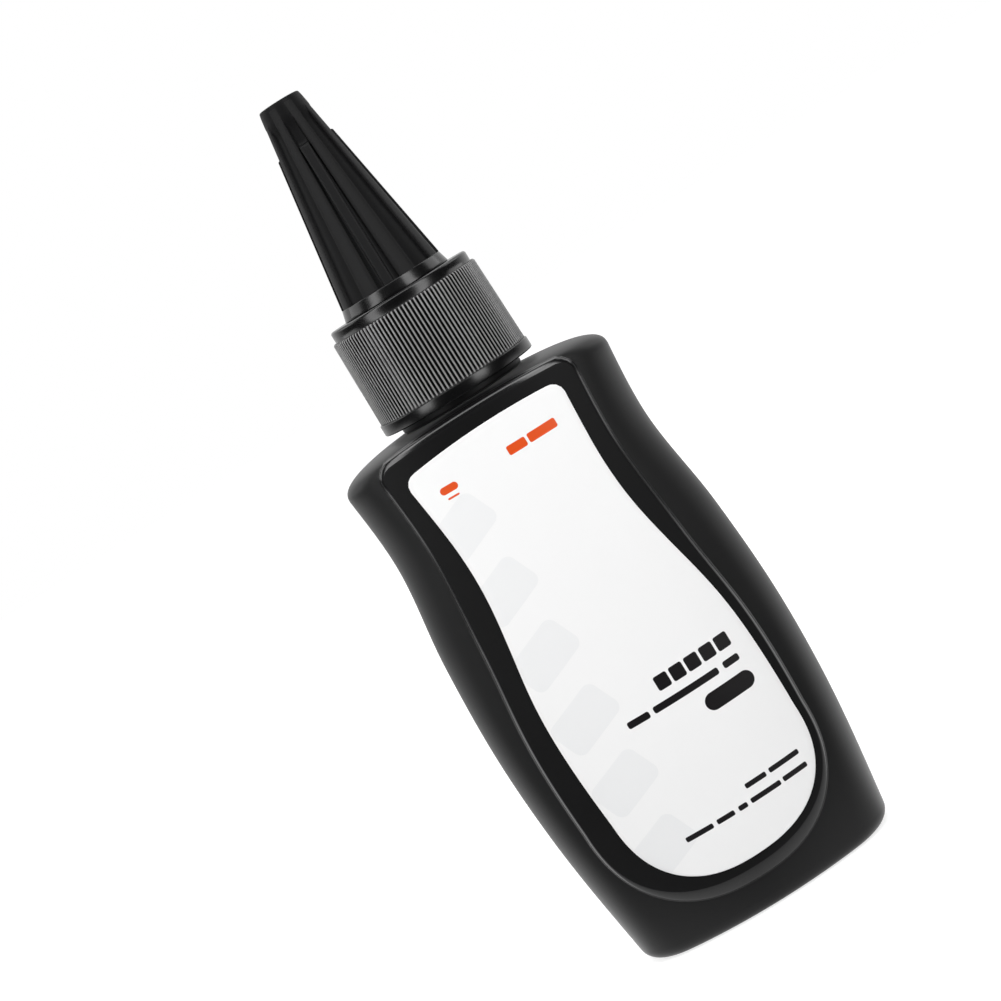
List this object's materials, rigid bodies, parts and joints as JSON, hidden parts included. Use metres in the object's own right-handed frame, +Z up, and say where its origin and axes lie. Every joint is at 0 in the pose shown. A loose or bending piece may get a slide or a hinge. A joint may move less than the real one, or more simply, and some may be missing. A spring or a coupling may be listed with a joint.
{
  "type": "bicycle fork oil bottle",
  "caption": "Oval squeeze bottle with waisted raised panels, a film label, a ribbed screw collar and a twist-open cone spout.",
  "frame": {"origin": "on the table, at the middle of the bottle's base", "axes": "+Z up along the neck, -Y towards the front with the label, +X to the viewer's right"},
  "size_m": [0.0494, 0.0256, 0.1394],
  "materials": {
    "bottle": "satin",
    "label": "satin",
    "seal": "matte",
    "cap": "satin"
  },
  "bodies": {
    "bottle_body": {"bottle": "bottle", "label": "label"},
    "seal_body": {"seal_ring": "seal"},
    "collar_body": {"collar": "cap"},
    "spout_body": {"spout": "cap"}
  },
  "joints": [
    {"name": "cap_turn", "type": "hinge", "parent": "bottle_body", "child": "seal_body", "pos_m": [0, 0, 0.10415], "axis": [0, 0, 1], "range_deg": [0, 2250]},
    {"name": "cap_lift", "type": "slide", "parent": "seal_body", "child": "collar_body", "axis": [0, 0, 1], "range_m": [0, 0.02]},
    {"name": "spout_rise", "type": "slide", "parent": "collar_body", "child": "spout_body", "axis": [0, 0, 1], "range_m": [0, 0.0028]}
  ],
  "couplings": [
    {"joint": "cap_turn", "follows": "cap_lift", "rad_per_m": 1963.5}
  ]
}
